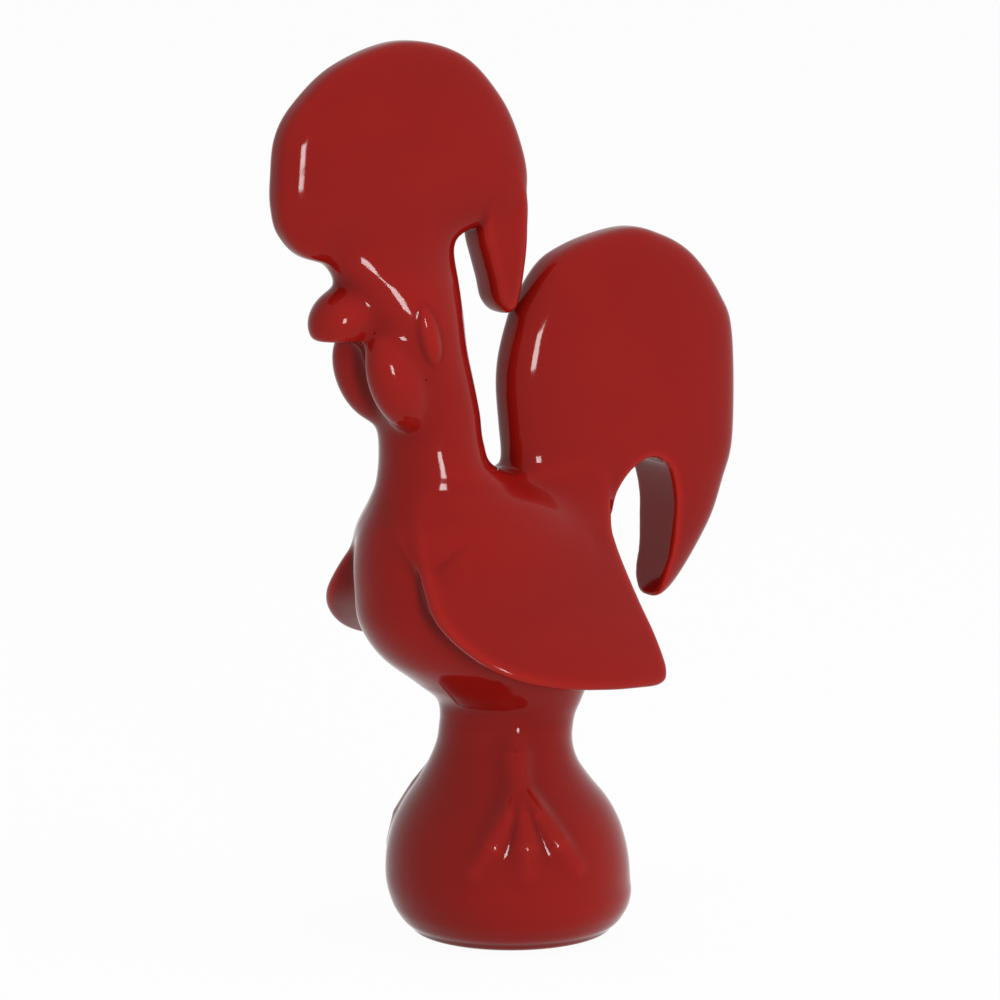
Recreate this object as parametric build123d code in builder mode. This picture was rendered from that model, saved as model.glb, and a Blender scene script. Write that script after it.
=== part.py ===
from build123d import *
import math
import os

# Rooster of Barcelos, glazed earthenware, in millimetres.
# The bird looks along -X, its left side is -Y, +Z is up.
# The origin is the middle of the foot, on the ground.

# Overall sizes
total_height = 200.0
clay_wall = 4.0
overrun = 5.0

# Base, a hollow bell that is open below
base_height = 50.0
base_radius = 27.1
base_edge_radius = 11.4
base_edge_shift = 0.5
base_lean = -1.0
foot_ring_width = 4.0
waist_radius = 15.0
waist_centre_x = -0.5

# Trunk: body, neck and head share one outer skin
body_length = 54.0
body_width = 44.0
body_centre_x = -10.0
neck_height = 22.0
neck_radius = 11.3
neck_centre_x = -20.5
head_height = 25.5
head_length = 25.8
head_width = 24.4
head_centre_x = -26.8
crown_length = 30.4
crown_width = 16.4
crown_centre_x = -30.2

# Comb, its hook and slot placed from its underside on the head
comb_height = 46.5
comb_length = 63.6
comb_front_x = -59.7
comb_thickness = 14.0
comb_rim_radius = 6.6
comb_root_rise = 10.5
comb_root_length = 29.0
comb_root_width = 10.0
comb_hook_length = 12.6
comb_hook_front_x = -9.5
comb_hook_thickness = 10.4
comb_hook_rim_radius = 1.8
comb_hook_drop = 13.9
comb_hook_rise = 20.5
comb_slot_width = 7.6
comb_slot_front_x = -15.2
comb_slot_rise = 1.3

# Tail, placed from the top of the body
tail_length = 60.3
tail_height = 83.3
tail_front_x = -2.0
tail_rise = 50.3
tail_thickness = 17.0
tail_rim_radius = 8.2
tail_slot_height = 32.4
tail_slot_front_x = 21.8
tail_slot_width = 17.1

# Wings, placed from the base and the top of the body
wing_length = 55.0
wing_front_x = -33.0
wing_tip_rise = 8.7
wing_top_drop = 3.0
wing_span = 76.0
skirt_length = 114.0
skirt_centre_x = -3.0

# Beak, placed from the top of the head
beak_length = 17.2
beak_thickness = 13.4
beak_centre_x = -41.9
beak_drop = 12.3
beak_droop = 28.0

# Wattles
wattle_length = 20.0
wattle_thickness = 11.2
wattle_spacing = 15.6
wattle_centre_x = -33.6
wattle_drop = 26.0
wattle_lean = 23.0

# Ear lobes
ear_lobe_height = 14.6
ear_lobe_width = 5.2
ear_lobe_relief = 0.9
ear_lobe_edge_radius = 0.5
ear_lobe_centre_x = -27.4
ear_lobe_drop = 16.1
ear_lobe_lean = 14.0

# Feet, in relief on the base: a leg that forks into three toes
leg_top_drop = 1.0
leg_length = 12.0
leg_thickness = 5.6
leg_turn = 22.0
toe_length = 17.0
toe_thickness = 4.6
toe_spread = 25.0

# Levels at which the clay parts meet
head_top_z = total_height - comb_height
neck_top_z = head_top_z - head_height
body_top_z = neck_top_z - neck_height

# Where each base level lies: shares of the height, the radius and the lean of the bell
base_level_shares = (
    (0.25, 1.002, 0.35),
    (0.34, 0.998, 0.6),
    (0.43, 0.972, 0.75),
    (0.52, 0.92, 0.8),
    (0.61, 0.832, 0.9),
    (0.70, 0.712, 1.3),
    (0.79, 0.61, 1.6),
    (0.88, 0.555, 1.3),
    (0.95, 0.548, 0.9),
)
base_edge_turns = (0.0, 20.0, 40.0, 60.0, 80.0)
blob_ring_turns = (8.0, 20.0, 40.0, 65.0, 90.0, 115.0, 140.0, 160.0, 172.0)

# Ridges of a foot, from top to tip: shares of the drop, the turn, the thickness and the sink
leg_ridge_shares = (
    (0.0, 1.0, 0.55, 0.9), (0.25, 1.0, 0.9, 0.45), (0.55, 1.0, 1.0, 0.3), (0.85, 1.0, 1.0, 0.3),
    (1.25, 1.0, 0.8, 0.7),
)
toe_ridge_shares = (
    (-0.1, 0.0, 0.85, 0.5), (0.2, 0.3, 1.0, 0.3), (0.5, 0.6, 0.95, 0.3), (0.75, 0.85, 0.8, 0.4),
    (1.0, 1.0, 0.55, 0.9),
)

# Body levels: shares of the rise, the centre, the half length and the half width
body_level_shares = (
    (0.06, 0.01, 0.595, 0.73),
    (0.14, 0.19, 0.73, 0.825),
    (0.25, 0.57, 0.895, 0.935),
    (0.39, 0.90, 0.98, 1.0),
    (0.53, 1.00, 1.0, 1.0),
    (0.68, 1.04, 0.985, 0.945),
    (0.785, 1.13, 0.907, 0.855),
    (0.875, 1.30, 0.763, 0.727),
    (0.945, 1.66, 0.585, 0.605),
)

# Neck levels: shares of the rise from body to head top, the centre and the radius
neck_level_shares = (
    (0.02, 0.935, 1.10),
    (0.12, 0.98, 1.02),
    (0.27, 1.02, 1.0),
    (0.42, 1.10, 1.005),
    (0.56, 1.21, 1.06),
)
head_level_shares = ((0.74, 1.0, 1.0, 1.0), (0.87, 1.06, 1.085, 0.885))

# Hollow of the tail: shares of its height, the place along it, its half length and its half thickness
tail_hollow_level_shares = (
    (0.47, 0.50, 0.60, 0.8), (0.52, 0.50, 0.74, 1.0), (0.62, 0.505, 0.79, 1.0),
    (0.72, 0.51, 0.75, 1.0), (0.82, 0.515, 0.62, 1.0), (0.90, 0.52, 0.42, 0.9),
    (0.93, 0.52, 0.26, 0.6),
)

# Outlines in side view: shares of the length and the height of what they bound
comb_disc_shares = (
    (0.008, 0.40), (0.03, 0.583), (0.10, 0.735), (0.257, 0.905), (0.495, 1.0), (0.727, 0.93),
    (0.886, 0.72), (0.969, 0.484), (0.99, 0.29), (0.936, 0.16), (0.78, 0.108), (0.543, 0.032),
    (0.30, -0.005), (0.13, 0.02), (0.04, 0.13), (0.006, 0.263),
)
comb_hook_shares = (
    (0.05, 0.593), (0.065, 0.477), (0.14, 0.36), (0.245, 0.215), (0.325, 0.076), (0.50, 0.0),
    (0.71, 0.023), (0.82, 0.128), (0.89, 0.244), (0.95, 0.39), (0.972, 0.535), (0.96, 0.738),
    (0.692, 0.942), (0.231, 0.942), (0.0, 0.767),
)
comb_slot_shares = (
    (0.0, 0.0), (0.026, 0.687), (0.079, 0.88), (0.29, 0.979), (0.513, 1.0), (0.776, 0.953),
    (0.934, 0.85), (1.03, 0.687), (1.06, 0.0),
)
tail_shares = (
    (0.012, 0.543), (0.033, 0.726), (0.15, 0.892), (0.285, 0.963), (0.514, 1.0), (0.66, 0.979),
    (0.80, 0.921), (0.922, 0.81), (0.98, 0.697), (0.985, 0.424), (0.939, 0.298), (0.866, 0.173),
    (0.697, 0.014), (0.564, 0.0), (0.398, 0.042), (0.092, 0.257),
)
tail_slot_shares = (
    (-0.25, 0.0), (-0.15, 0.42), (-0.09, 0.58), (0.01, 0.74), (0.15, 0.865), (0.351, 0.952), (0.602, 1.0),
    (0.813, 0.963), (0.93, 0.884), (1.0, 0.739), (1.0, 0.594), (0.97, 0.409), (0.89, 0.264),
    (0.78, 0.0),
)
wing_edge_shares = (
    (0.109, 0.887), (0.036, 0.706), (0.004, 0.548), (0.008, 0.40), (0.084, 0.266), (0.215, 0.157),
    (0.405, 0.088), (0.636, 0.052), (0.80, 0.038), (0.895, 0.034), (0.94, 0.058), (0.948, 0.11),
    (0.937, 0.19), (0.926, 0.285), (0.914, 0.402), (0.914, 0.571), (0.927, 0.707), (0.945, 0.842),
)
wing_back_shares = ((0.795, 1.0), (0.242, 0.98))

# Skirt that the wings are cut from: shares of its height, centre, half length and half width
skirt_level_shares = (
    (-0.1, 1.0, 1.0, 1.0),
    (0.0, 1.0, 1.0, 0.998),
    (0.15, 1.0, 1.0, 0.982),
    (0.30, 1.0, 0.99, 0.885),
    (0.50, 1.0, 0.97, 0.68),
    (0.715, 1.0, 0.93, 0.435),
    (0.93, 1.0, 0.86, 0.22),
    (1.10, 1.0, 0.76, 0.10),
)


def spread(shares, front_x, bottom_z, length, height):
    """Points of a side view outline from its shares."""
    return [(front_x + along * length, bottom_z + up * height) for along, up in shares]


def drawn_in(shares, length, height, wall):
    """Shares of an outline that is drawn in all round by a wall, about the middle of its box."""
    along_scale, up_scale = 1 - 2 * wall / length, 1 - 2 * wall / height
    return [((along - 0.5) * along_scale + 0.5, (up - 0.5) * up_scale + 0.5) for along, up in shares]


def plate(points, thickness, rim_radius):
    """A slab of clay in the middle plane with both its rims rounded."""
    with BuildPart() as drawn:
        with BuildSketch(Plane.XZ):
            with BuildLine():
                Spline(points, periodic=True)
            make_face()
        extrude(amount=thickness / 2, both=True)
        fillet(drawn.edges().group_by(Axis.Y)[0], rim_radius)
        fillet(drawn.edges().group_by(Axis.Y)[-1], rim_radius)
    return drawn.part


def slot(points):
    """A through cut in the middle plane, rounded above and closed by a straight line below."""
    with BuildPart() as drawn:
        with BuildSketch(Plane.XZ):
            with BuildLine():
                arch = Spline(points)
                Line(arch @ 1, arch @ 0)
            make_face()
        extrude(amount=total_height, both=True)
    return drawn.part


def skin(levels):
    """A closed skin through level ellipses: height, centre, half length, half width."""
    with BuildPart() as drawn:
        for height, centre_x, half_length, half_width in levels:
            with BuildSketch(Plane((centre_x, 0, height))):
                Ellipse(half_length, half_width)
        loft()
    return drawn.part


def slab(bottom, top):
    """A level slice of space, wider than the bird."""
    with BuildPart() as drawn:
        with BuildSketch(Plane.XY.offset(bottom)):
            Rectangle(total_height, total_height)
        extrude(amount=top - bottom)
    return drawn.part


def blob(length, thickness, centre, turn):
    """A rounded clay pellet, longest along an axis in the middle plane, with two tiny flat ends."""
    axis = Vector(math.cos(math.radians(turn)), 0, math.sin(math.radians(turn)))
    with BuildPart() as drawn:
        for angle in blob_ring_turns:
            along = length / 2 * math.cos(math.radians(angle))
            with BuildSketch(Plane(Vector(centre) + axis * along, x_dir=(0, 1, 0), z_dir=axis)):
                Circle(thickness / 2 * math.sin(math.radians(angle)))
        loft()
    return drawn.part


def base_levels(wall):
    """Levels of the bell, drawn in by a wall: the rounded edge, the shoulder, the waist."""
    foot_radius = base_radius - base_edge_radius
    edge_radius = base_edge_radius - wall
    levels = []
    for turn in base_edge_turns:
        radius = foot_radius + edge_radius * math.sin(math.radians(turn))
        height = base_edge_radius - edge_radius * math.cos(math.radians(turn))
        shift = base_edge_shift * math.sin(math.radians(2 * turn))
        levels.append((height, shift, radius, radius))
    for up, across, lean in base_level_shares:
        radius = base_radius * across - wall
        levels.append((base_height * up, base_lean * lean, radius, radius))
    levels.append((base_height, waist_centre_x, waist_radius - wall, waist_radius - wall))
    return levels


def bell_point(height, turn, sink):
    """A point under the bell's skin, turned from the left flank towards the front."""
    levels = base_levels(0)
    for (low, low_x, low_radius, _), (high, high_x, high_radius, _) in zip(levels, levels[1:]):
        if low <= height <= high:
            share = (height - low) / (high - low)
            centre_x = low_x + (high_x - low_x) * share
            radius = low_radius + (high_radius - low_radius) * share - sink
            angle = math.radians(turn)
            return Vector(centre_x - radius * math.sin(angle), -radius * math.cos(angle), height)


def ridge(shares, top_z, tip_z, thickness, first_turn, turn_range):
    """A roll of clay that follows the bell from its top to its tip, sunk in at both ends."""
    middles = [bell_point(top_z + (tip_z - top_z) * drop, first_turn + turn_range * turned,
                          thickness / 2 * sunk) for drop, turned, thick, sunk in shares]
    with BuildPart() as drawn:
        for index, (drop, turned, thick, sunk) in enumerate(shares):
            ahead = middles[min(index + 1, len(middles) - 1)]
            behind = middles[max(index - 1, 0)]
            with BuildSketch(Plane(middles[index], x_dir=(1, 0, 0), z_dir=ahead - behind)):
                Circle(thickness / 2 * thick)
        loft()
    return drawn.part


def trunk_levels(wall):
    """Levels of the body, neck and head, drawn in by a wall."""
    body_rise = body_top_z - base_height
    neck_rise = head_top_z - body_top_z
    levels = [(base_height, waist_centre_x, waist_radius, waist_radius)]
    for up, centre, along, across in body_level_shares:
        levels.append((base_height + body_rise * up, body_centre_x * centre,
                       body_length / 2 * along, body_width / 2 * across))
    for up, centre, around in neck_level_shares:
        levels.append((body_top_z + neck_rise * up, neck_centre_x * centre,
                       neck_radius * around, neck_radius * around))
    for up, centre, along, across in head_level_shares:
        levels.append((body_top_z + neck_rise * up, head_centre_x * centre,
                       head_length / 2 * along, head_width / 2 * across))
    levels.append((head_top_z, crown_centre_x, crown_length / 2, crown_width / 2))
    return [(height, centre, along - wall, across - wall) for height, centre, along, across in levels]


def skirt_levels():
    """Levels of the flared skirt that both wings are cut from."""
    return [(wing_tip_z + wing_height * up, skirt_centre_x * centre, skirt_length / 2 * along,
             wing_span / 2 * across) for up, centre, along, across in skirt_level_shares]


def right_twin(left, label):
    """The right-hand twin of a left-hand piece."""
    with BuildPart() as drawn:
        mirror(left.part, about=Plane.XZ)
    drawn.part.label = label
    return drawn


trunk_skin = skin(trunk_levels(0))
trunk_hollow = skin(trunk_levels(clay_wall))
base_skin = skin(base_levels(0))
wing_tip_z = base_height + wing_tip_rise
wing_height = body_top_z - wing_top_drop - wing_tip_z
wing_skirt = skin(skirt_levels())


# Base: a bell with a rounded bottom edge, hollow up to the waist
with BuildPart() as base:
    add(base_skin)
    add(skin(base_levels(clay_wall)), mode=Mode.SUBTRACT)
    with BuildSketch(Plane.XY.offset(-overrun)):
        Circle(base_radius - base_edge_radius - foot_ring_width)
    extrude(amount=overrun + base_edge_radius, mode=Mode.SUBTRACT)
    add(slab(0, base_height), mode=Mode.INTERSECT)
base.part.label = "base"

# Body, neck and head: slices of the hollow trunk
with BuildPart() as body:
    add(trunk_skin)
    add(trunk_hollow, mode=Mode.SUBTRACT)
    add(slab(base_height, body_top_z), mode=Mode.INTERSECT)
body.part.label = "body"

with BuildPart() as neck:
    add(trunk_skin)
    add(trunk_hollow, mode=Mode.SUBTRACT)
    add(slab(body_top_z, neck_top_z), mode=Mode.INTERSECT)
neck.part.label = "neck"

with BuildPart() as head:
    add(trunk_skin)
    add(trunk_hollow, mode=Mode.SUBTRACT)
    add(slab(neck_top_z, head_top_z), mode=Mode.INTERSECT)
head.part.label = "head"

# Comb: a thick disc with a full round rim on a flared root, and a thinner hook behind.
# Its hollow opens into the head.
comb_disc = plate(spread(comb_disc_shares, comb_front_x, head_top_z, comb_length, comb_height),
                  comb_thickness, comb_rim_radius)
comb_disc_hollow = plate(
    spread(drawn_in(comb_disc_shares, comb_length, comb_height, clay_wall),
           comb_front_x, head_top_z, comb_length, comb_height),
    comb_thickness - 2 * clay_wall, comb_rim_radius - clay_wall)
comb_hook_tip_z = head_top_z - comb_hook_drop
comb_hook = plate(
    spread(comb_hook_shares, comb_hook_front_x, comb_hook_tip_z, comb_hook_length,
           comb_hook_drop + comb_hook_rise), comb_hook_thickness, comb_hook_rim_radius)
comb_root_top_z = head_top_z + comb_root_rise
with BuildPart() as comb:
    add(comb_disc)
    add(skin([(head_top_z, crown_centre_x, crown_length / 2, crown_width / 2),
              (comb_root_top_z, crown_centre_x, comb_root_length / 2, comb_root_width / 2)]))
    add(slot(spread(comb_slot_shares, comb_slot_front_x, comb_hook_tip_z, comb_slot_width,
                    comb_hook_drop + comb_slot_rise)), mode=Mode.SUBTRACT)
    add(slab(head_top_z, total_height + overrun), mode=Mode.INTERSECT)
    add(comb_hook)
    add(comb_disc_hollow, mode=Mode.SUBTRACT)
    add(skin([(head_top_z, crown_centre_x, crown_length / 2 - clay_wall, crown_width / 2 - clay_wall),
              (comb_root_top_z, crown_centre_x, comb_root_length / 2 - clay_wall,
               comb_root_width / 2 - clay_wall)]), mode=Mode.SUBTRACT)
comb.part.label = "comb"

# Tail: a thick oval plate, hollow, with a hook behind the slot, luted onto the back
tail_tip_z = body_top_z + tail_rise - tail_height
tail_slot = slot(spread(tail_slot_shares, tail_slot_front_x, tail_tip_z - overrun, tail_slot_width,
                        tail_slot_height + overrun))
tail_plate = plate(spread(tail_shares, tail_front_x, tail_tip_z, tail_length, tail_height),
                   tail_thickness, tail_rim_radius)
tail_hollow = skin([(tail_tip_z + tail_height * up, tail_front_x + tail_length * along,
                     tail_length / 2 * long, (tail_thickness / 2 - clay_wall) * thick)
                    for up, along, long, thick in tail_hollow_level_shares])
with BuildPart() as tail:
    add(tail_plate)
    add(tail_hollow, mode=Mode.SUBTRACT)
    add(trunk_skin, mode=Mode.SUBTRACT)
    add(tail_slot, mode=Mode.SUBTRACT)
tail.part.label = "tail"

# Wings: both halves of one flared skirt, cut to the wing's outline and set against body and tail
with BuildPart() as tail_blade:
    add(tail_plate)
    add(tail_slot, mode=Mode.SUBTRACT)
with BuildPart() as wing_left:
    with BuildSketch(Plane.XZ):
        with BuildLine():
            wing_edge = Spline(spread(wing_edge_shares, wing_front_x, wing_tip_z, wing_length, wing_height))
            Polyline(wing_edge @ 1,
                     *spread(wing_back_shares, wing_front_x, wing_tip_z, wing_length, wing_height),
                     wing_edge @ 0)
        make_face()
    extrude(amount=wing_span)
    add(wing_skirt, mode=Mode.INTERSECT)
    add(trunk_skin, mode=Mode.SUBTRACT)
    add(tail_blade.part, mode=Mode.SUBTRACT)
wing_left.part.label = "wing_left"

# Beak: a drooping pellet on the front of the head
with BuildPart() as beak:
    add(blob(beak_length, beak_thickness, (beak_centre_x, 0, head_top_z - beak_drop), beak_droop))
    add(trunk_skin, mode=Mode.SUBTRACT)
    add(comb.part, mode=Mode.SUBTRACT)
beak.part.label = "beak"

# Wattle: one lobe under the beak
with BuildPart() as wattle_left:
    add(blob(wattle_length, wattle_thickness,
             (wattle_centre_x, -wattle_spacing / 2, head_top_z - wattle_drop), wattle_lean - 90))
    add(trunk_skin, mode=Mode.SUBTRACT)
    add(beak.part, mode=Mode.SUBTRACT)
wattle_left.part.label = "wattle_left"

# Ear lobe: an almond of clay pressed on the cheek
with BuildPart() as ear_lobe_left:
    with BuildSketch(Plane.XZ):
        with Locations((ear_lobe_centre_x, head_top_z - ear_lobe_drop)):
            Ellipse(ear_lobe_height / 2, ear_lobe_width / 2, rotation=90 + ear_lobe_lean)
    extrude(amount=head_width / 2 + ear_lobe_relief)
    fillet(ear_lobe_left.edges().sort_by(Axis.Y)[0], ear_lobe_edge_radius)
    add(trunk_skin, mode=Mode.SUBTRACT)
ear_lobe_left.part.label = "ear_lobe_left"

# Foot: a leg that forks into three toes, in relief on the base
leg_top_z = base_height - leg_top_drop
leg_fork_z = leg_top_z - leg_length
toe_tip_z = leg_fork_z - toe_length
with BuildPart() as foot_left:
    add(ridge(leg_ridge_shares, leg_top_z, leg_fork_z, leg_thickness, leg_turn, 0))
    for toe in (-1, 0, 1):
        add(ridge(toe_ridge_shares, leg_fork_z, toe_tip_z, toe_thickness, leg_turn, toe * toe_spread))
    add(base_skin, mode=Mode.SUBTRACT)
    add(trunk_skin, mode=Mode.SUBTRACT)
foot_left.part.label = "foot_left"

wing_right = right_twin(wing_left, "wing_right")
wattle_right = right_twin(wattle_left, "wattle_right")
ear_lobe_right = right_twin(ear_lobe_left, "ear_lobe_right")
foot_right = right_twin(foot_left, "foot_right")

pieces = (base, body, neck, head, comb, tail, wing_left, wing_right, beak, wattle_left, wattle_right,
          ear_lobe_left, ear_lobe_right, foot_left, foot_right)
os.makedirs("parts", exist_ok=True)
for piece in pieces:
    export_step(piece.part, f"parts/{piece.part.label}.step")
    print(piece.part.label, piece.part.is_valid, [round(made.volume) for made in piece.part.solids()])
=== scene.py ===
import math

import bpy
import numpy as np
from mathutils import Matrix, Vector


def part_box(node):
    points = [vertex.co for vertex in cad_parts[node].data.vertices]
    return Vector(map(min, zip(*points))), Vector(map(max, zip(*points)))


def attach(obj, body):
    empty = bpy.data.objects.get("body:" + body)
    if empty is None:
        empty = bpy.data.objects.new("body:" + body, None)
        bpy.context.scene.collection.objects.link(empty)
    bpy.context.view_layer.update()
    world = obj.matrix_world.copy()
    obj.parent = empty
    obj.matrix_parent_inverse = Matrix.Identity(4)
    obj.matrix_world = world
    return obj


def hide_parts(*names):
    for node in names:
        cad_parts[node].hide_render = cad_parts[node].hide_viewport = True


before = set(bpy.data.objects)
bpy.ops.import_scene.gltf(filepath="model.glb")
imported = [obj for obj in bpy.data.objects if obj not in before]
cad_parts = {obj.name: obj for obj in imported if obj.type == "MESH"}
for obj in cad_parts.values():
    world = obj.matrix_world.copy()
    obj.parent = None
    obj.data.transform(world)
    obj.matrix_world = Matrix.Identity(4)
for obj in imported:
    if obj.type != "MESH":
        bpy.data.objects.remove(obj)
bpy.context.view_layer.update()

# The glazed skin of the fired bird, in millimetres: one smooth field for the whole clay body,
# which is then shared out among the clay parts, so that the glaze runs on from part to part.
VOXEL = 0.5
MARGIN = 6.0
MM = 0.001
TINY = 1e-4

CLAY_WALL = 4.0

BASE_HEIGHT = 50.0
BASE_RADIUS = 27.1
BASE_EDGE_RADIUS = 11.4
BASE_EDGE_SHIFT = 0.5
BASE_LEAN = -1.0
FOOT_RING_WIDTH = 4.0
WAIST_RADIUS = 15.0
WAIST_X = -0.5

BODY_LENGTH = 54.0
BODY_WIDTH = 44.0
BODY_X = -10.0
BODY_TOP = 106.0
NECK_RADIUS = 11.3
NECK_X = -20.5
NECK_TOP = 128.0
HEAD_LENGTH = 25.8
HEAD_WIDTH = 24.4
HEAD_X = -26.8
HEAD_TOP = 153.5
CROWN_LENGTH = 30.4
CROWN_WIDTH = 16.4
CROWN_X = -30.2

# Shares of the height, the radius and the lean of the bell
BASE_LEVELS = ((0.25, 1.002, 0.35), (0.34, 0.998, 0.6), (0.43, 0.972, 0.75), (0.52, 0.92, 0.8),
               (0.61, 0.832, 0.9), (0.70, 0.712, 1.3), (0.79, 0.61, 1.6), (0.88, 0.555, 1.3),
               (0.95, 0.548, 0.9))
BASE_EDGE_TURNS = (0.0, 20.0, 40.0, 60.0, 80.0)
# Shares of the rise, the centre, the half length and the half width
BODY_LEVELS = ((0.06, 0.01, 0.595, 0.73), (0.14, 0.19, 0.73, 0.825), (0.25, 0.57, 0.895, 0.935),
               (0.39, 0.90, 0.98, 1.0), (0.53, 1.00, 1.0, 1.0), (0.68, 1.04, 0.985, 0.945),
               (0.785, 1.13, 0.907, 0.855), (0.875, 1.30, 0.763, 0.727), (0.945, 1.66, 0.585, 0.605))
NECK_LEVELS = ((0.02, 0.935, 1.10), (0.12, 0.98, 1.02), (0.27, 1.02, 1.0), (0.42, 1.10, 1.005),
               (0.56, 1.21, 1.06))
HEAD_LEVELS = ((0.74, 1.0, 1.0, 1.0), (0.87, 1.06, 1.085, 0.885))
ROOT_LEVELS = ((159.0, -30.0, 14.6, 6.2), (165.0, -30.0, 13.6, 4.2), (172.0, -30.0, 8.0, 2.0))

COMB_BOX = (-59.7, 153.5, 63.6, 46.5)
COMB_HALF = 7.0
COMB_ROUND = 24.0
COMB_DISC = ((0.012, 0.40), (0.03, 0.583), (0.10, 0.735), (0.257, 0.905), (0.495, 1.0),
             (0.727, 0.93), (0.886, 0.72), (0.969, 0.484), (0.99, 0.29), (0.936, 0.16),
             (0.78, 0.108), (0.543, 0.032), (0.30, -0.005), (0.13, 0.02), (0.04, 0.13),
             (0.012, 0.263))
HOOK_BOX = (-9.5, 139.6, 12.6, 34.4)
HOOK_HALF = 5.2
HOOK_ROUND = 3.5
COMB_HOOK = ((-0.03, 0.593), (-0.01, 0.477), (0.08, 0.36), (0.20, 0.215), (0.30, 0.076),
             (0.50, 0.0), (0.71, 0.023), (0.82, 0.128), (0.89, 0.244), (0.95, 0.39),
             (0.972, 0.535), (0.96, 0.738), (0.692, 0.942), (0.231, 0.942), (0.0, 0.767))
COMB_SLOT_BOX = (-15.2, 139.6, 7.6, 15.2)
COMB_SLOT = ((0.0, 0.0), (0.026, 0.687), (0.079, 0.88), (0.29, 0.979), (0.513, 1.0),
             (0.776, 0.953), (0.934, 0.85), (1.03, 0.687), (1.06, 0.0), (0.8, -0.4), (0.2, -0.4))

TAIL_BOX = (-2.0, 73.0, 60.3, 83.3)
TAIL_HALF = 8.5
TAIL_ROUND = 26.0
TAIL = ((0.004, 0.543), (0.025, 0.726), (0.145, 0.895), (0.285, 0.963), (0.514, 1.0),
        (0.66, 0.979), (0.80, 0.921), (0.922, 0.81), (0.98, 0.697), (0.985, 0.424),
        (0.939, 0.298), (0.866, 0.173), (0.697, 0.014), (0.564, 0.0), (0.398, 0.042),
        (0.092, 0.257))
TAIL_SLOT_BOX = (21.8, 68.0, 17.1, 37.4)
TAIL_SLOT = ((-0.25, 0.0), (-0.16, 0.42), (-0.12, 0.58), (-0.045, 0.74), (0.15, 0.865),
             (0.351, 0.952), (0.602, 1.0), (0.813, 0.963), (0.93, 0.884), (1.0, 0.739),
             (1.0, 0.594), (0.97, 0.409), (0.89, 0.264), (0.78, 0.0), (0.6, -0.2), (0.0, -0.2))
SLOT_EDGE = 1.8
# How full a plate's rim is, and how widely the ridge inside its outline is smoothed
PLATE_POWER = 3.0
PLATE_SOFTEN = 6.0

WING_BOX = (-33.0, 58.7, 55.0, 44.3)
WING = ((0.109, 0.887), (0.036, 0.706), (0.004, 0.548), (0.008, 0.40), (0.084, 0.266),
        (0.215, 0.157), (0.405, 0.088), (0.636, 0.052), (0.80, 0.038), (0.895, 0.034),
        (0.94, 0.058), (0.948, 0.11), (0.937, 0.19), (0.926, 0.285), (0.914, 0.402),
        (0.914, 0.571), (0.927, 0.707), (0.945, 0.842), (0.905, 0.97), (0.795, 1.0), (0.242, 0.98))
WING_EDGE = 2.6
# The wing's underside rises towards the body
UNDERCUT_FROM = 2.0
UNDERCUT_REACH = 14.0
UNDERCUT_SLOPE = 0.6
SKIRT_X = -3.0
SKIRT_HALF_LENGTH = 57.0
SKIRT_HALF_WIDTH = 38.0
SKIRT_LEVELS = ((-0.1, 1.0, 1.0, 1.0), (0.0, 1.0, 1.0, 0.998), (0.15, 1.0, 1.0, 0.982),
                (0.30, 1.0, 0.99, 0.885), (0.50, 1.0, 0.97, 0.68), (0.715, 1.0, 0.93, 0.435),
                (0.93, 1.0, 0.86, 0.22), (1.10, 1.0, 0.76, 0.10))

# Level ellipses never get narrower than this
LEAST_HALF = 0.4

# Middle, half sizes and turn of the small rounded lumps
BEAK = ((-41.9, 0.0, 141.2), (8.6, 6.7, 6.7), 28.0)
WATTLE = ((-33.4, 7.0, 127.2), (10.6, 5.8, 5.4), 113.0)
EAR_LOBE = ((-27.4, 10.6, 137.4), (7.3, 2.7, 2.6), 104.0)
BEAK_UNDERSIDE = 136.2
BEAK_EDGE = 2.0

LEG_TOP = 49.0
LEG_FORK = 37.0
LEG_TURN = 22.0
LEG_HALF = 2.8
# Shares of the leg's half width: how deep its ends and its middle lie, and how it tapers
LEG_DEPTHS = (0.9, 0.35)
LEG_TAPER = (0.6, 1.0, 0.9)
TOE_TIP = 20.0
TOE_HALF = 2.2
TOE_SPREAD = 25.0
TOE_SHARES = (0.35, 0.7, 1.0)
TOE_DEPTHS = (0.4, 0.4, 0.75)
TOE_TAPER = (1.0, 1.0, 0.9, 0.6)

# How widely the clay is smoothed where two parts meet
TAIL_BLEND = 7.0
WING_BLEND = 9.0
LIP_BLEND = 2.4
LIP_REACH = 9.0
LIP_FADE = (84.0, 94.0)
COMB_BLEND = 6.0
HOOK_BLEND = 1.6
BEAK_BLEND = 4.5
WATTLE_BLEND = 6.0
EAR_BLEND = 0.6
TOE_BLEND = 1.0
FOOT_BLEND = 4.5
FOOT_EDGE = 1.0
# Where the glaze ends: on faces this low, or this deep under the skin
BARE_HEIGHT = 0.35
BARE_DEPTH = 2.5


def tangents(knots, values):
    """Slopes of a smooth curve through the values at each knot."""
    steps = np.diff(knots)
    slopes = np.diff(values) / steps
    inner = (slopes[:-1] * steps[1:] + slopes[1:] * steps[:-1]) / (steps[1:] + steps[:-1])
    return np.concatenate([[slopes[0]], inner, [slopes[-1]]])


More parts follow.
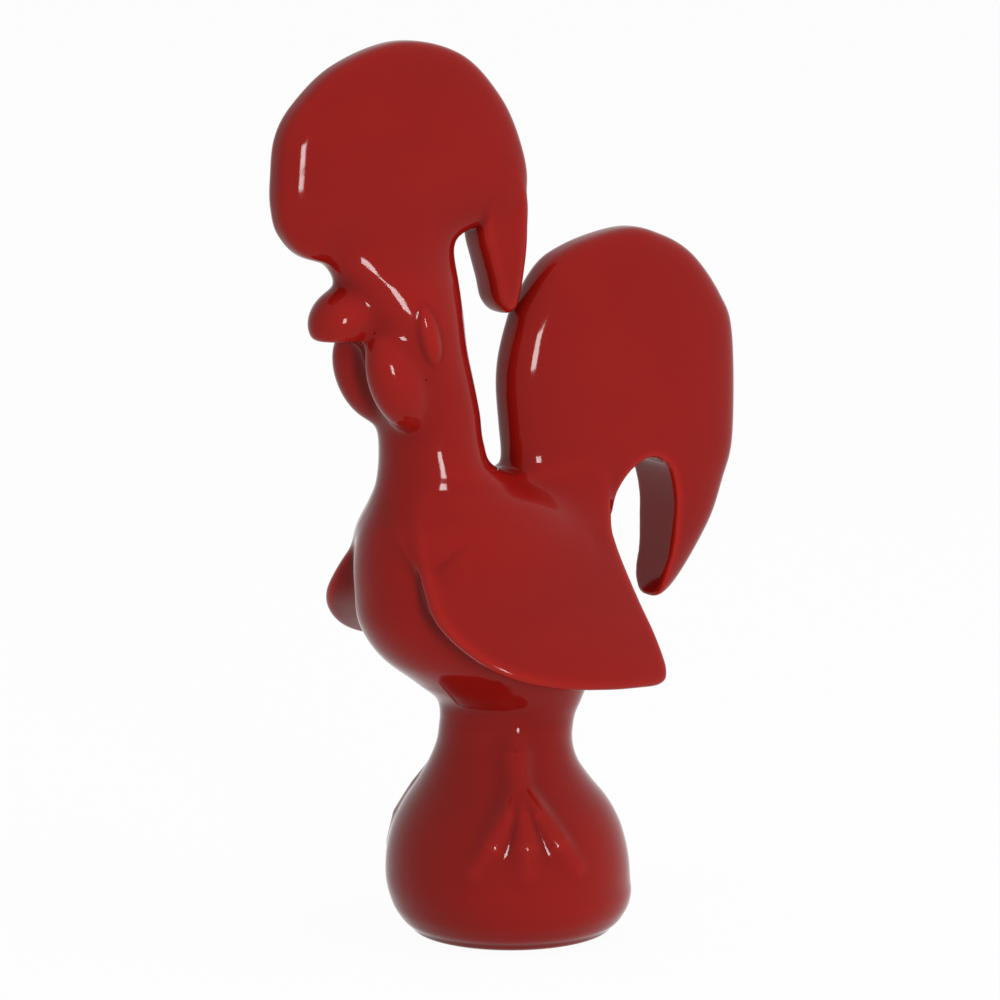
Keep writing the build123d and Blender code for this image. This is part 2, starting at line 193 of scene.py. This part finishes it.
def along(knots, values, at):
    """A smooth curve through the values, read at heights."""
    knots, values = np.asarray(knots, float), np.asarray(values, float)
    slope = tangents(knots, values)
    at = np.clip(at, knots[0], knots[-1])
    index = np.clip(np.searchsorted(knots, at) - 1, 0, len(knots) - 2)
    step = knots[index + 1] - knots[index]
    t = (at - knots[index]) / step
    return ((2 * t**3 - 3 * t**2 + 1) * values[index] + (t**3 - 2 * t**2 + t) * step * slope[index]
            + (3 * t**2 - 2 * t**3) * values[index + 1] + (t**3 - t**2) * step * slope[index + 1])


def closed_curve(points, parts=12):
    """A smooth closed outline through the points."""
    points = np.asarray(points, float)
    before, ahead, after = np.roll(points, 1, 0), np.roll(points, -1, 0), np.roll(points, -2, 0)
    made = []
    for t in np.arange(parts) / parts:
        made.append(0.5 * (2 * points + (ahead - before) * t
                           + (2 * before - 5 * points + 4 * ahead - after) * t**2
                           + (3 * points - before - 3 * ahead + after) * t**3))
    return np.stack(made, 1).reshape(-1, 2)


def outline(shares, box):
    x, z, length, height = box
    return closed_curve([(x + u * length, z + v * height) for u, v in shares])


def outline_gap(curve, x, z):
    """Signed distance from each place in side view to an outline, below zero inside it."""
    px, pz = np.meshgrid(x, z, indexing="ij")
    nearest = np.full(px.shape, np.inf)
    inside = np.zeros(px.shape, bool)
    for (ax, az), (bx, bz) in zip(curve, np.roll(curve, -1, 0)):
        ex, ez = bx - ax, bz - az
        t = np.clip(((px - ax) * ex + (pz - az) * ez) / (ex * ex + ez * ez), 0, 1)
        nearest = np.minimum(nearest, (px - ax - ex * t) ** 2 + (pz - az - ez * t) ** 2)
        crosses = (az > pz) != (bz > pz)
        if ez:
            inside ^= crosses & (px < ax + ex * (pz - az) / ez)
    gap = np.sqrt(nearest)
    return np.where(inside, -gap, gap)[:, None, :]


def join(a, b, width):
    """The union of two forms, smoothed over a width."""
    overlap = np.clip(width - np.abs(a - b), 0, None) / width
    return np.minimum(a, b) - overlap**3 * width / 6


def cut(a, b, width):
    """What two forms share, with its edge smoothed over a width."""
    return -join(-a, -b, width)


def ellipse_gap(u, v, half_u, half_v):
    near = np.sqrt((u / half_u) ** 2 + (v / half_v) ** 2)
    far = np.sqrt((u / half_u**2) ** 2 + (v / half_v**2) ** 2)
    return near * (near - 1) / np.maximum(far, TINY)


def level_form(levels, x, y, z):
    """A skin through level ellipses."""
    height, centre, half_length, half_width = np.array(levels, float).T
    middle = along(height, centre, z)
    half_u, half_v = along(height, half_length, z), along(height, half_width, z)
    gap = ellipse_gap(x - middle, y, np.maximum(half_u, LEAST_HALF), np.maximum(half_v, LEAST_HALF))
    # The mean slope of both radii, read over a step of 1 mm
    above, below = z + 0.5, z - 0.5
    rise_u = along(height, half_length, above) - along(height, half_length, below)
    rise_v = along(height, half_width, above) - along(height, half_width, below)
    rise = np.sqrt(1 + (0.5 * (rise_u + rise_v)) ** 2)
    return np.maximum(gap / rise, np.maximum(z - height[-1], height[0] - z))


def ramp(value, low, high):
    """A smooth step from 0 to 1."""
    t = np.clip((value - low) / (high - low), 0, 1)
    return t * t * (3 - 2 * t)


def softened(gap):
    """An outline's gap with the ridge deep inside it smoothed away."""
    soft = gap
    reach = int(PLATE_SOFTEN / VOXEL / 2)
    for axis in (0, 2):
        for _ in range(2):
            shifted = [np.roll(soft, step, axis) for step in range(-reach, reach + 1)]
            soft = sum(shifted) / len(shifted)
    return gap + ramp(-gap, PLATE_SOFTEN / 2, 2 * PLATE_SOFTEN) * (soft - gap)


def plate_form(gap, y, half, rounding):
    """A lens of clay: nearly flat in the middle and rounded off towards its outline."""
    inward = np.maximum(rounding + gap, 0) / rounding
    aside = np.abs(y) / half
    near = np.maximum((inward**PLATE_POWER + aside**PLATE_POWER) ** (1 / PLATE_POWER), 0.02)
    slope = np.hypot(inward ** (PLATE_POWER - 1) / rounding, aside ** (PLATE_POWER - 1) / half)
    return (near - 1) * near ** (PLATE_POWER - 1) / np.maximum(slope, 0.1 * TINY)


def lump_form(lump, side, x, y, z):
    """A rounded lump, longest along an axis that is turned in side view."""
    (mid_x, mid_y, mid_z), (half_long, half_wide, half_deep), turn = lump
    c, s = math.cos(math.radians(turn)), math.sin(math.radians(turn))
    u = (x - mid_x) * c + (z - mid_z) * s
    w = (z - mid_z) * c - (x - mid_x) * s
    v = y - side * mid_y
    near = np.sqrt((u / half_long) ** 2 + (w / half_wide) ** 2 + (v / half_deep) ** 2)
    far = np.sqrt((u / half_long**2) ** 2 + (w / half_wide**2) ** 2 + (v / half_deep**2) ** 2)
    return near * (near - 1) / np.maximum(far, TINY)


def base_levels(wall):
    foot, edge = BASE_RADIUS - BASE_EDGE_RADIUS, BASE_EDGE_RADIUS - wall
    made = []
    for turn in BASE_EDGE_TURNS:
        angle = math.radians(turn)
        radius = foot + edge * math.sin(angle)
        made.append((BASE_EDGE_RADIUS - edge * math.cos(angle), BASE_EDGE_SHIFT * math.sin(2 * angle),
                     radius, radius))
    for up, across, lean in BASE_LEVELS:
        radius = BASE_RADIUS * across - wall
        made.append((BASE_HEIGHT * up, BASE_LEAN * lean, radius, radius))
    made.append((BASE_HEIGHT, WAIST_X, WAIST_RADIUS - wall, WAIST_RADIUS - wall))
    return made


def trunk_levels(wall):
    """Levels of base, body, neck, head and the comb's root."""
    made = base_levels(wall)
    rise, neck_rise = BODY_TOP - BASE_HEIGHT, HEAD_TOP - BODY_TOP
    for up, centre, long, wide in BODY_LEVELS:
        made.append((BASE_HEIGHT + rise * up, BODY_X * centre, BODY_LENGTH / 2 * long - wall,
                     BODY_WIDTH / 2 * wide - wall))
    for up, centre, around in NECK_LEVELS:
        radius = NECK_RADIUS * around - wall
        made.append((BODY_TOP + neck_rise * up, NECK_X * centre, radius, radius))
    for up, centre, long, wide in HEAD_LEVELS:
        made.append((BODY_TOP + neck_rise * up, HEAD_X * centre, HEAD_LENGTH / 2 * long - wall,
                     HEAD_WIDTH / 2 * wide - wall))
    made.append((HEAD_TOP, CROWN_X, CROWN_LENGTH / 2 - wall, CROWN_WIDTH / 2 - wall))
    if wall == 0:
        made.extend(ROOT_LEVELS)
    return made


TRUNK = trunk_levels(0)
HOLLOW = trunk_levels(CLAY_WALL)
WING_LEVELS = [(WING_BOX[1] + WING_BOX[3] * up, SKIRT_X * centre, SKIRT_HALF_LENGTH * long,
                SKIRT_HALF_WIDTH * wide) for up, centre, long, wide in SKIRT_LEVELS]


def bell_point(height, turn, sunk):
    """A point under the bell's skin on the right flank, turned towards the front."""
    levels, centres, radii, _ = zip(*TRUNK)
    radius = float(along(levels, radii, np.array(height))) - sunk
    centre = float(along(levels, centres, np.array(height)))
    angle = math.radians(turn)
    return np.array([centre - radius * math.sin(angle), radius * math.cos(angle), height])


def roll_form(points, halves, side, x, y, z):
    """A tapered roll of clay through points."""
    best = None
    for (a, b), (thick_a, thick_b) in zip(zip(points, points[1:]), zip(halves, halves[1:])):
        a, b = a * (1, side, 1), b * (1, side, 1)
        d = b - a
        t = np.clip(((x - a[0]) * d[0] + (y - a[1]) * d[1] + (z - a[2]) * d[2]) / (d @ d), 0, 1)
        gap = np.sqrt((x - a[0] - t * d[0]) ** 2 + (y - a[1] - t * d[1]) ** 2
                      + (z - a[2] - t * d[2]) ** 2) - (thick_a + (thick_b - thick_a) * t)
        best = gap if best is None else np.minimum(best, gap)
    return best


def foot_form(side, x, y, z):
    """A leg that forks into three toes, low on the bell."""
    top_depth, depth = (LEG_HALF * share for share in LEG_DEPTHS)
    fork = bell_point(LEG_FORK, LEG_TURN, depth)
    leg = [bell_point(LEG_TOP, LEG_TURN, top_depth),
           bell_point((LEG_TOP + LEG_FORK) / 2, LEG_TURN, depth), fork]
    form = roll_form(leg, [LEG_HALF * share for share in LEG_TAPER], side, x, y, z)
    for toe in (-1, 0, 1):
        points = [fork]
        for share, depth in zip(TOE_SHARES, TOE_DEPTHS):
            points.append(bell_point(LEG_FORK + (TOE_TIP - LEG_FORK) * share,
                                     LEG_TURN + toe * TOE_SPREAD * share, TOE_HALF * depth))
        toe_roll = roll_form(points, [TOE_HALF * share for share in TOE_TAPER], side, x, y, z)
        form = join(form, toe_roll, TOE_BLEND)
    return form


DISC_CURVE = outline(COMB_DISC, COMB_BOX)
HOOK_CURVE = outline(COMB_HOOK, HOOK_BOX)
COMB_SLOT_CURVE = outline(COMB_SLOT, COMB_SLOT_BOX)
TAIL_CURVE = outline(TAIL, TAIL_BOX)
TAIL_SLOT_CURVE = outline(TAIL_SLOT, TAIL_SLOT_BOX)
WING_CURVE = outline(WING, WING_BOX)


def forms(x, y, z):
    """Every clay part as a field over a block of places: below zero inside the clay."""
    line_x, line_z = x.ravel(), z.ravel()
    made = {"trunk": level_form(TRUNK, x, y, z)}
    disc = plate_form(softened(outline_gap(DISC_CURVE, line_x, line_z)), y, COMB_HALF, COMB_ROUND)
    hook = plate_form(outline_gap(HOOK_CURVE, line_x, line_z), y, HOOK_HALF, HOOK_ROUND)
    comb_slot = outline_gap(COMB_SLOT_CURVE, line_x, line_z)
    made["comb"] = join(cut(disc, -comb_slot, SLOT_EDGE), hook, HOOK_BLEND)
    tail = plate_form(softened(outline_gap(TAIL_CURVE, line_x, line_z)), y, TAIL_HALF, TAIL_ROUND)
    made["tail"] = cut(tail, -outline_gap(TAIL_SLOT_CURVE, line_x, line_z), SLOT_EDGE)
    flare = level_form(WING_LEVELS, x, y, z)
    made["wing_gap"] = outline_gap(WING_CURVE, line_x, line_z)
    undercut = UNDERCUT_SLOPE * np.clip(-flare - UNDERCUT_FROM, 0, UNDERCUT_REACH)
    wing = cut(flare, made["wing_gap"] + undercut, WING_EDGE)
    made["wing_left"] = np.maximum(wing, y)
    made["wing_right"] = np.maximum(wing, -y)
    made["wing"] = wing
    made["beak"] = cut(lump_form(BEAK, 1, x, y, z), BEAK_UNDERSIDE - z + 0 * x + 0 * y, BEAK_EDGE)
    for name, side in (("left", -1), ("right", 1)):
        made["wattle_" + name] = lump_form(WATTLE, side, x, y, z)
        made["ear_lobe_" + name] = lump_form(EAR_LOBE, side, x, y, z)
        made["foot_" + name] = foot_form(side, x, y, z)
    return made


def whole(made, x, y, z):
    """The whole fired body, with its hollow."""
    form = join(made["trunk"], made["comb"], COMB_BLEND)
    form = join(form, made["tail"], TAIL_BLEND)
    faded = np.maximum(ramp(-made["wing_gap"], 0, LIP_REACH), ramp(z, *LIP_FADE))
    form = join(form, made["wing"], LIP_BLEND + (WING_BLEND - LIP_BLEND) * faded)
    form = join(form, made["beak"], BEAK_BLEND)
    for name in ("left", "right"):
        form = join(form, made["wattle_" + name], WATTLE_BLEND)
        form = join(form, made["ear_lobe_" + name], EAR_BLEND)
        form = join(form, made["foot_" + name], FOOT_BLEND)
    form = cut(form, -z + 0 * x + 0 * y, FOOT_EDGE)
    hollow = np.maximum(level_form(HOLLOW, x, y, z), np.maximum(z - HEAD_TOP, HOLLOW[0][0] - z))
    mouth = np.maximum(np.sqrt(x**2 + y**2) - (BASE_RADIUS - BASE_EDGE_RADIUS - FOOT_RING_WIDTH),
                       z - BASE_EDGE_RADIUS)
    return np.maximum(form, -join(hollow, mouth, FOOT_EDGE))


SLABS = {"base": (-1e3, BASE_HEIGHT), "body": (BASE_HEIGHT, BODY_TOP), "neck": (BODY_TOP, NECK_TOP),
         "head": (NECK_TOP, HEAD_TOP)}
LUMPS = ("tail", "wing_left", "wing_right", "beak", "wattle_left", "wattle_right", "ear_lobe_left",
         "ear_lobe_right", "foot_left", "foot_right")


def share_of(name, made, z):
    """Which places belong to a clay part: below zero where they do."""
    lump = np.minimum.reduce([made[other] for other in LUMPS if other != name])
    if name in SLABS:
        low, high = SLABS[name]
        return np.maximum(np.maximum(z - high, low - z),
                          made["trunk"] - np.minimum(lump, made["comb"]))
    if name == "comb":
        return np.maximum(np.minimum(HEAD_TOP - z, made["comb"] - made["trunk"]),
                          np.minimum(made["trunk"], made["comb"]) - lump)
    return made[name] - np.minimum(np.minimum(made["trunk"], made["comb"]), lump)


# How often the mesh is drawn onto the surface, how far a vertex may go each time and in all, in
# voxels, and how far a face may stray from the skin and still count as skin, in millimetres
SETTLE_TURNS = 4
SETTLE_STEP = 0.5
CELL_SLACK = 0.6
SKIN_SLACK = 0.02

CORNERS = [(i, j, k) for i in (0, 1) for j in (0, 1) for k in (0, 1)]
EDGES = [(a, b) for a in CORNERS for b in CORNERS
         if sum(b) - sum(a) == 1 and all(p <= q for p, q in zip(a, b))]


def sample(field, places):
    """A field or its slopes read between lattice points."""
    cell = np.clip(np.floor(places).astype(int), 0, np.array(field.shape[:3]) - 2)
    t = places - cell
    total = 0
    for corner in CORNERS:
        weight = np.prod([t[:, n] if corner[n] else 1 - t[:, n] for n in range(3)], axis=0)
        values = field[cell[:, 0] + corner[0], cell[:, 1] + corner[1], cell[:, 2] + corner[2]]
        total = total + (weight[:, None] * values if values.ndim == 2 else weight * values)
    return total


def skin_of(body, share):
    """Vertices and quads where the part's surface lies, with the slopes of the body's skin."""
    field = np.maximum(body, share)
    inside = field < 0
    count = sum(inside[i:inside.shape[0] - 1 + i, j:inside.shape[1] - 1 + j,
                       k:inside.shape[2] - 1 + k].astype(np.int8) for i, j, k in CORNERS)
    mixed = (count > 0) & (count < 8)
    cells = np.argwhere(mixed)
    index = np.full(mixed.shape, -1)
    index[mixed] = np.arange(len(cells))
    total, crossings = np.zeros((len(cells), 3)), np.zeros(len(cells))
    on_skin, on_seam = np.zeros(len(cells), bool), np.zeros(len(cells), bool)
    for a, b in EDGES:
        first, second = tuple((cells + a).T), tuple((cells + b).T)
        fa, fb = field[first], field[second]
        crosses = (fa < 0) != (fb < 0)
        t = np.where(crosses, fa / np.where(crosses, fa - fb, 1), 0)
        total += crosses[:, None] * (np.array(a) + t[:, None] * (np.array(b) - a))
        crossings += crosses
        outer = body[first] + t * (body[second] - body[first])
        seam = share[first] + t * (share[second] - share[first])
        on_skin |= crosses & (outer >= seam)
        on_seam |= crosses & (outer < seam)
    places = cells + total / crossings[:, None]
    body_slope = np.stack(np.gradient(body), -1)
    share_slope = np.stack(np.gradient(share), -1)

    def settle(chosen, values, slopes):
        at = places[chosen]
        slope = sample(slopes, at)
        step = sample(values, at)[:, None] * slope / np.maximum((slope**2).sum(1), TINY)[:, None]
        length = np.linalg.norm(step, axis=1)[:, None]
        places[chosen] = at - step * np.minimum(1, SETTLE_STEP / np.maximum(length, TINY))

    for _ in range(SETTLE_TURNS):
        settle(on_seam, share, share_slope)
        settle(on_skin, body, body_slope)
    places = np.clip(places, cells - CELL_SLACK, cells + 1 + CELL_SLACK)
    quads = []
    for axis in range(3):
        ahead = [slice(None)] * 3
        behind = [slice(None)] * 3
        ahead[axis], behind[axis] = slice(1, None), slice(None, -1)
        one, two = inside[tuple(behind)], inside[tuple(ahead)]
        others = [n for n in range(3) if n != axis]
        at = np.argwhere(one != two)
        keep = np.all([(at[:, n] > 0) & (at[:, n] < inside.shape[n] - 1) for n in others], axis=0)
        at = at[keep]
        flip = two[tuple(at.T)] ^ (axis == 1)
        ring = []
        for p, q in ((1, 1), (0, 1), (0, 0), (1, 0)):
            place = at.copy()
            place[:, others[0]] -= p
            place[:, others[1]] -= q
            ring.append(index[tuple(place.T)])
        ring = np.stack(ring, 1)
        quads.append(np.where(flip[:, None], ring[:, ::-1], ring))
    quads = np.concatenate(quads)
    middle = places[quads].mean(1)
    outer_face = sample(body, middle) >= sample(share, middle) - SKIN_SLACK
    slope = sample(body_slope, places)
    normals = slope / np.maximum(np.linalg.norm(slope, axis=1), TINY)[:, None]
    bend = sum(np.gradient(np.gradient(body, axis=n), axis=n) for n in range(3)) / VOXEL
    return places, quads, outer_face, normals, sample(bend, places)


def block_of(low, high):
    """A block of lattice places around a box."""
    axes = []
    for a, b in zip(low, high):
        first, last = math.floor((a - MARGIN) / VOXEL), math.ceil((b + MARGIN) / VOXEL)
        axes.append(np.arange(first, last + 1) * VOXEL)
    return axes


def make_piece(node, name):
    low, high = (np.array(corner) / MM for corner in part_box(node))
    axes = block_of(low, high)
    x, y, z = axes[0][:, None, None], axes[1][None, :, None], axes[2][None, None, :]
    made = forms(x, y, z)
    body, share = whole(made, x, y, z), share_of(node, made, z) + 0 * x + 0 * y
    places, quads, outer, normals, bend = skin_of(body, share)
    points = (places * VOXEL + np.array([axis[0] for axis in axes])) * MM
    return build_mesh(name, points, quads, outer, normals, bend)


def build_mesh(name, points, quads, outer, normals, bend):
    mesh = bpy.data.meshes.new(name)
    mesh.vertices.add(len(points))
    mesh.vertices.foreach_set("co", points.astype(np.float32).ravel())
    mesh.loops.add(quads.size)
    mesh.loops.foreach_set("vertex_index", quads.astype(np.int32).ravel())
    mesh.polygons.add(len(quads))
    mesh.polygons.foreach_set("loop_start", np.arange(0, quads.size, 4, dtype=np.int32))
    mesh.polygons.foreach_set("loop_total", np.full(len(quads), 4, np.int32))
    mesh.update(calc_edges=True)
    mesh.polygons.foreach_set("use_smooth", np.ones(len(quads), bool))
    corner = points[quads]
    flat = np.cross(corner[:, 2] - corner[:, 0], corner[:, 3] - corner[:, 1])
    flat /= np.maximum(np.linalg.norm(flat, axis=1), 1e-20)[:, None]
    loops = np.where(outer[:, None, None], normals[quads], flat[:, None, :]).reshape(-1, 3)
    mesh.normals_split_custom_set(loops.tolist())
    bent = mesh.attributes.new("bend", "FLOAT", "POINT")
    bent.data.foreach_set("value", bend.astype(np.float32))
    obj = bpy.data.objects.new(name, mesh)
    bpy.context.scene.collection.objects.link(obj)
    return obj


def node_of(tree, kind, **values):
    node = tree.nodes.new(kind)
    for key, value in values.items():
        if hasattr(node, key):
            setattr(node, key, value)
        else:
            node.inputs[key.replace("_", " ")].default_value = value
    return node


def map_range(tree, source, **values):
    """Maps a socket's values from one range to another."""
    node = node_of(tree, "ShaderNodeMapRange", **values)
    tree.links.new(source, node.inputs["Value"])
    return node.outputs["Result"]


# Glaze colours: pooled glaze darkened with painted shade in creases, the glaze as it lies on open
# faces, and thin glaze lightened with painted light on edges
GLAZE_POOLED_AND_SHADED = (0.115, 0.0029, 0.0021, 1)
GLAZE_OPEN = (0.201, 0.0048, 0.0032, 1)
GLAZE_THIN_AND_LIT = (0.34, 0.012, 0.0074, 1)
GLAZE_OPEN_AT = 0.35
# The bend of the skin, per millimetre, in creases and on edges
CREASE_BEND = -0.35
EDGE_BEND = 0.65
# The middle part of a noise texture's values
NOISE_LOW = 0.3
NOISE_HIGH = 0.7
CLAY_DARK = (0.50, 0.27, 0.16, 1)
CLAY_PALE = (0.66, 0.40, 0.26, 1)


def glaze_material():
    """Deep red glossy glaze: lighter on edges from thin glaze and painted light, darker in creases
    from pooled glaze and painted shade.
    """
    material = bpy.data.materials.new("red_glaze")
    material.use_nodes = True
    tree = material.node_tree
    shader = tree.nodes["Principled BSDF"]
    place = node_of(tree, "ShaderNodeTexCoord")
    cloud = node_of(tree, "ShaderNodeTexNoise", Scale=22.0, Detail=3.0, Roughness=0.5)
    speck = node_of(tree, "ShaderNodeTexNoise", Scale=900.0, Detail=2.0, Roughness=0.6)
    wave = node_of(tree, "ShaderNodeTexNoise", Scale=110.0, Detail=1.5, Roughness=0.45)
    for texture in (cloud, speck, wave):
        tree.links.new(place.outputs["Object"], texture.inputs["Vector"])
    bend = node_of(tree, "ShaderNodeAttribute", attribute_name="bend")
    # The skin's bend darkens creases with painted shade and lightens edges with painted light, on top
    # of the glaze's own pooling and thinning
    edge = map_range(tree, bend.outputs["Fac"], From_Min=CREASE_BEND, From_Max=EDGE_BEND)
    tone = node_of(tree, "ShaderNodeValToRGB")
    tones = tone.color_ramp.elements
    tones[0].position, tones[0].color = 0.0, GLAZE_POOLED_AND_SHADED
    tones[1].position, tones[1].color = 1.0, GLAZE_THIN_AND_LIT
    tones.new(GLAZE_OPEN_AT).color = GLAZE_OPEN
    tree.links.new(edge, tone.inputs["Fac"])
    hue = node_of(tree, "ShaderNodeHueSaturation")
    value = map_range(tree, cloud.outputs["Fac"], From_Min=NOISE_LOW, From_Max=NOISE_HIGH,
                      To_Min=0.93, To_Max=1.07)
    tree.links.new(value, hue.inputs["Value"])
    tree.links.new(tone.outputs["Color"], hue.inputs["Color"])
    tree.links.new(hue.outputs["Color"], shader.inputs["Base Color"])
    rough = map_range(tree, speck.outputs["Fac"], From_Min=NOISE_LOW, From_Max=NOISE_HIGH,
                      To_Min=0.05, To_Max=0.09)
    tree.links.new(rough, shader.inputs["Roughness"])
    ripple = node_of(tree, "ShaderNodeBump", Strength=0.35, Distance=0.0003)
    grain = node_of(tree, "ShaderNodeBump", Strength=0.08, Distance=0.00005)
    tree.links.new(wave.outputs["Fac"], ripple.inputs["Height"])
    tree.links.new(speck.outputs["Fac"], grain.inputs["Height"])
    tree.links.new(ripple.outputs["Normal"], grain.inputs["Normal"])
    tree.links.new(grain.outputs["Normal"], shader.inputs["Normal"])
    shader.inputs["Specular IOR Level"].default_value = 0.12
    shader.inputs["IOR"].default_value = 1.5
    return material


def clay_material():
    """Bare fired clay of the foot ring and the hollow."""
    material = bpy.data.materials.new("bare_clay")
    material.use_nodes = True
    tree = material.node_tree
    shader = tree.nodes["Principled BSDF"]
    place = node_of(tree, "ShaderNodeTexCoord")
    grain = node_of(tree, "ShaderNodeTexNoise", Scale=700.0, Detail=5.0, Roughness=0.65)
    tree.links.new(place.outputs["Object"], grain.inputs["Vector"])
    tone = node_of(tree, "ShaderNodeValToRGB")
    tones = tone.color_ramp.elements
    tones[0].position, tones[0].color = NOISE_LOW, CLAY_DARK
    tones[1].position, tones[1].color = NOISE_HIGH, CLAY_PALE
    tree.links.new(grain.outputs["Fac"], tone.inputs["Fac"])
    tree.links.new(tone.outputs["Color"], shader.inputs["Base Color"])
    bump = node_of(tree, "ShaderNodeBump", Strength=0.4, Distance=0.0002)
    tree.links.new(grain.outputs["Fac"], bump.inputs["Height"])
    tree.links.new(bump.outputs["Normal"], shader.inputs["Normal"])
    shader.inputs["Roughness"].default_value = 0.85
    return material


red_glaze = glaze_material()
bare_clay = clay_material()
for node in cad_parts:
    piece = make_piece(node, "glazed_" + node)
    piece.data.materials.append(red_glaze)
    if node in SLABS:
        piece.data.materials.append(bare_clay)
        centres = np.zeros(len(piece.data.polygons) * 3, np.float32)
        piece.data.polygons.foreach_get("center", centres)
        centres = centres.reshape(-1, 3) / MM
        x, y, z = centres.T
        height, centre, half_length, half_width = np.array(TRUNK, float).T
        reach = ellipse_gap(x - along(height, centre, z), y, along(height, half_length, z),
                            along(height, half_width, z))
        bare = (reach < -BARE_DEPTH) | (z < BARE_HEIGHT)
        piece.data.polygons.foreach_set("material_index", bare.astype(np.int32))
    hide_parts(node)
    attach(piece, "root")


# Camera: where the photograph was taken from
CAMERA_TURN = 32.0
CAMERA_RISE = 9.5
CAMERA_AWAY = 1.25
CAMERA_REACH = 20.0
AIM = np.array([0.0, 0.0, 0.1])
PIXELS_PER_METRE = 4550.0
AIM_PIXEL = (509.5, 489.3)
SENSOR = 36.0
PICTURE = 1000.0


def toward(turn, rise):
    """The direction from the bird to a place round it: turned from its left side to its front."""
    t, r = math.radians(turn), math.radians(rise)
    return np.array([-math.sin(t) * math.cos(r), -math.cos(t) * math.cos(r), math.sin(r)])


def placed(obj, direction, away, aim=AIM):
    """Puts a camera or lamp out along a direction, looking back at its aim."""
    back = direction / np.linalg.norm(direction)
    right = np.cross((0, 0, 1.0), back)
    right /= np.linalg.norm(right)
    up = np.cross(back, right)
    obj.matrix_world = Matrix([(right[n], up[n], back[n], aim[n] + back[n] * away) for n in range(3)]
                              + [(0, 0, 0, 1)])
    return obj


def link(obj):
    bpy.context.scene.collection.objects.link(obj)
    return obj


scene = bpy.context.scene
camera = link(bpy.data.objects.new("camera", bpy.data.cameras.new("camera")))
camera.data.sensor_width = SENSOR
camera.data.lens = SENSOR * PIXELS_PER_METRE * CAMERA_AWAY / PICTURE
camera.data.shift_x = -(AIM_PIXEL[0] - PICTURE / 2) / PICTURE
camera.data.shift_y = (AIM_PIXEL[1] - PICTURE / 2) / PICTURE
camera.data.clip_end = CAMERA_REACH
placed(camera, toward(CAMERA_TURN, CAMERA_RISE), CAMERA_AWAY)
scene.camera = camera


# Lamps: turn and rise in degrees, distance, width and height in metres, watts, and whether the glaze
# mirrors them
LAMPS = {"window": (14.0, 5.0, 1.5, 0.24, 0.36, 13.0, True),
         "top": (10.0, 80.0, 1.4, 0.3, 0.3, 3.0, False),
         "fill": (-40.0, 35.0, 1.6, 1.2, 1.0, 8.0, False)}
for name, (turn, rise, away, width, height, watts, mirrored) in LAMPS.items():
    data = bpy.data.lights.new(name, "AREA")
    data.shape = "RECTANGLE"
    data.size, data.size_y = width, height
    data.energy = watts
    lamp = placed(link(bpy.data.objects.new(name, data)), toward(turn, rise), away)
    lamp.visible_glossy = mirrored

# World: white as seen, also in the glaze, and dimmer as a light
WORLD_LIGHT = 0.52
WORLD_SEEN = 1.0


def seen_rays(tree):
    """A socket that is 1 where the camera, a mirror or a glass sees a place, and 0 for other light."""
    ray = node_of(tree, "ShaderNodeLightPath")
    seen = ray.outputs["Is Camera Ray"]
    for kind in ("Is Glossy Ray", "Is Transmission Ray"):
        larger = node_of(tree, "ShaderNodeMath", operation="MAXIMUM")
        tree.links.new(seen, larger.inputs[0])
        tree.links.new(ray.outputs[kind], larger.inputs[1])
        seen = larger.outputs[0]
    return seen


world = bpy.data.worlds.new("studio")
scene.world = world
world.use_nodes = True
tree = world.node_tree
background = tree.nodes["Background"]
level = map_range(tree, seen_rays(tree), To_Min=WORLD_LIGHT, To_Max=WORLD_SEEN)
tree.links.new(level, background.inputs["Strength"])
background.inputs["Color"].default_value = (1, 1, 1, 1)

# Floor: pale, seen as nearly white, with the bird's soft shadow
FLOOR_HALF = 3.0
FLOOR_GLOW = 0.96
PAPER = (0.82, 0.82, 0.82, 1)
floor_mesh = bpy.data.meshes.new("floor")
floor_mesh.from_pydata([(-FLOOR_HALF, -FLOOR_HALF, 0), (FLOOR_HALF, -FLOOR_HALF, 0),
                        (FLOOR_HALF, FLOOR_HALF, 0), (-FLOOR_HALF, FLOOR_HALF, 0)], [], [(0, 1, 2, 3)])
floor = link(bpy.data.objects.new("floor", floor_mesh))
paper = bpy.data.materials.new("paper")
paper.use_nodes = True
tree = paper.node_tree
shader = tree.nodes["Principled BSDF"]
shader.inputs["Base Color"].default_value = PAPER
shader.inputs["Roughness"].default_value = 0.9
shader.inputs["Specular IOR Level"].default_value = 0.0
glow = node_of(tree, "ShaderNodeEmission", Strength=1.0)
part = node_of(tree, "ShaderNodeMath", operation="MULTIPLY")
part.inputs[1].default_value = FLOOR_GLOW
tree.links.new(seen_rays(tree), part.inputs[0])
mix = node_of(tree, "ShaderNodeMixShader")
tree.links.new(part.outputs[0], mix.inputs["Fac"])
tree.links.new(shader.outputs["BSDF"], mix.inputs[1])
tree.links.new(glow.outputs["Emission"], mix.inputs[2])
tree.links.new(mix.outputs["Shader"], tree.nodes["Material Output"].inputs["Surface"])
floor_mesh.materials.append(paper)

scene.view_settings.view_transform = "Standard"
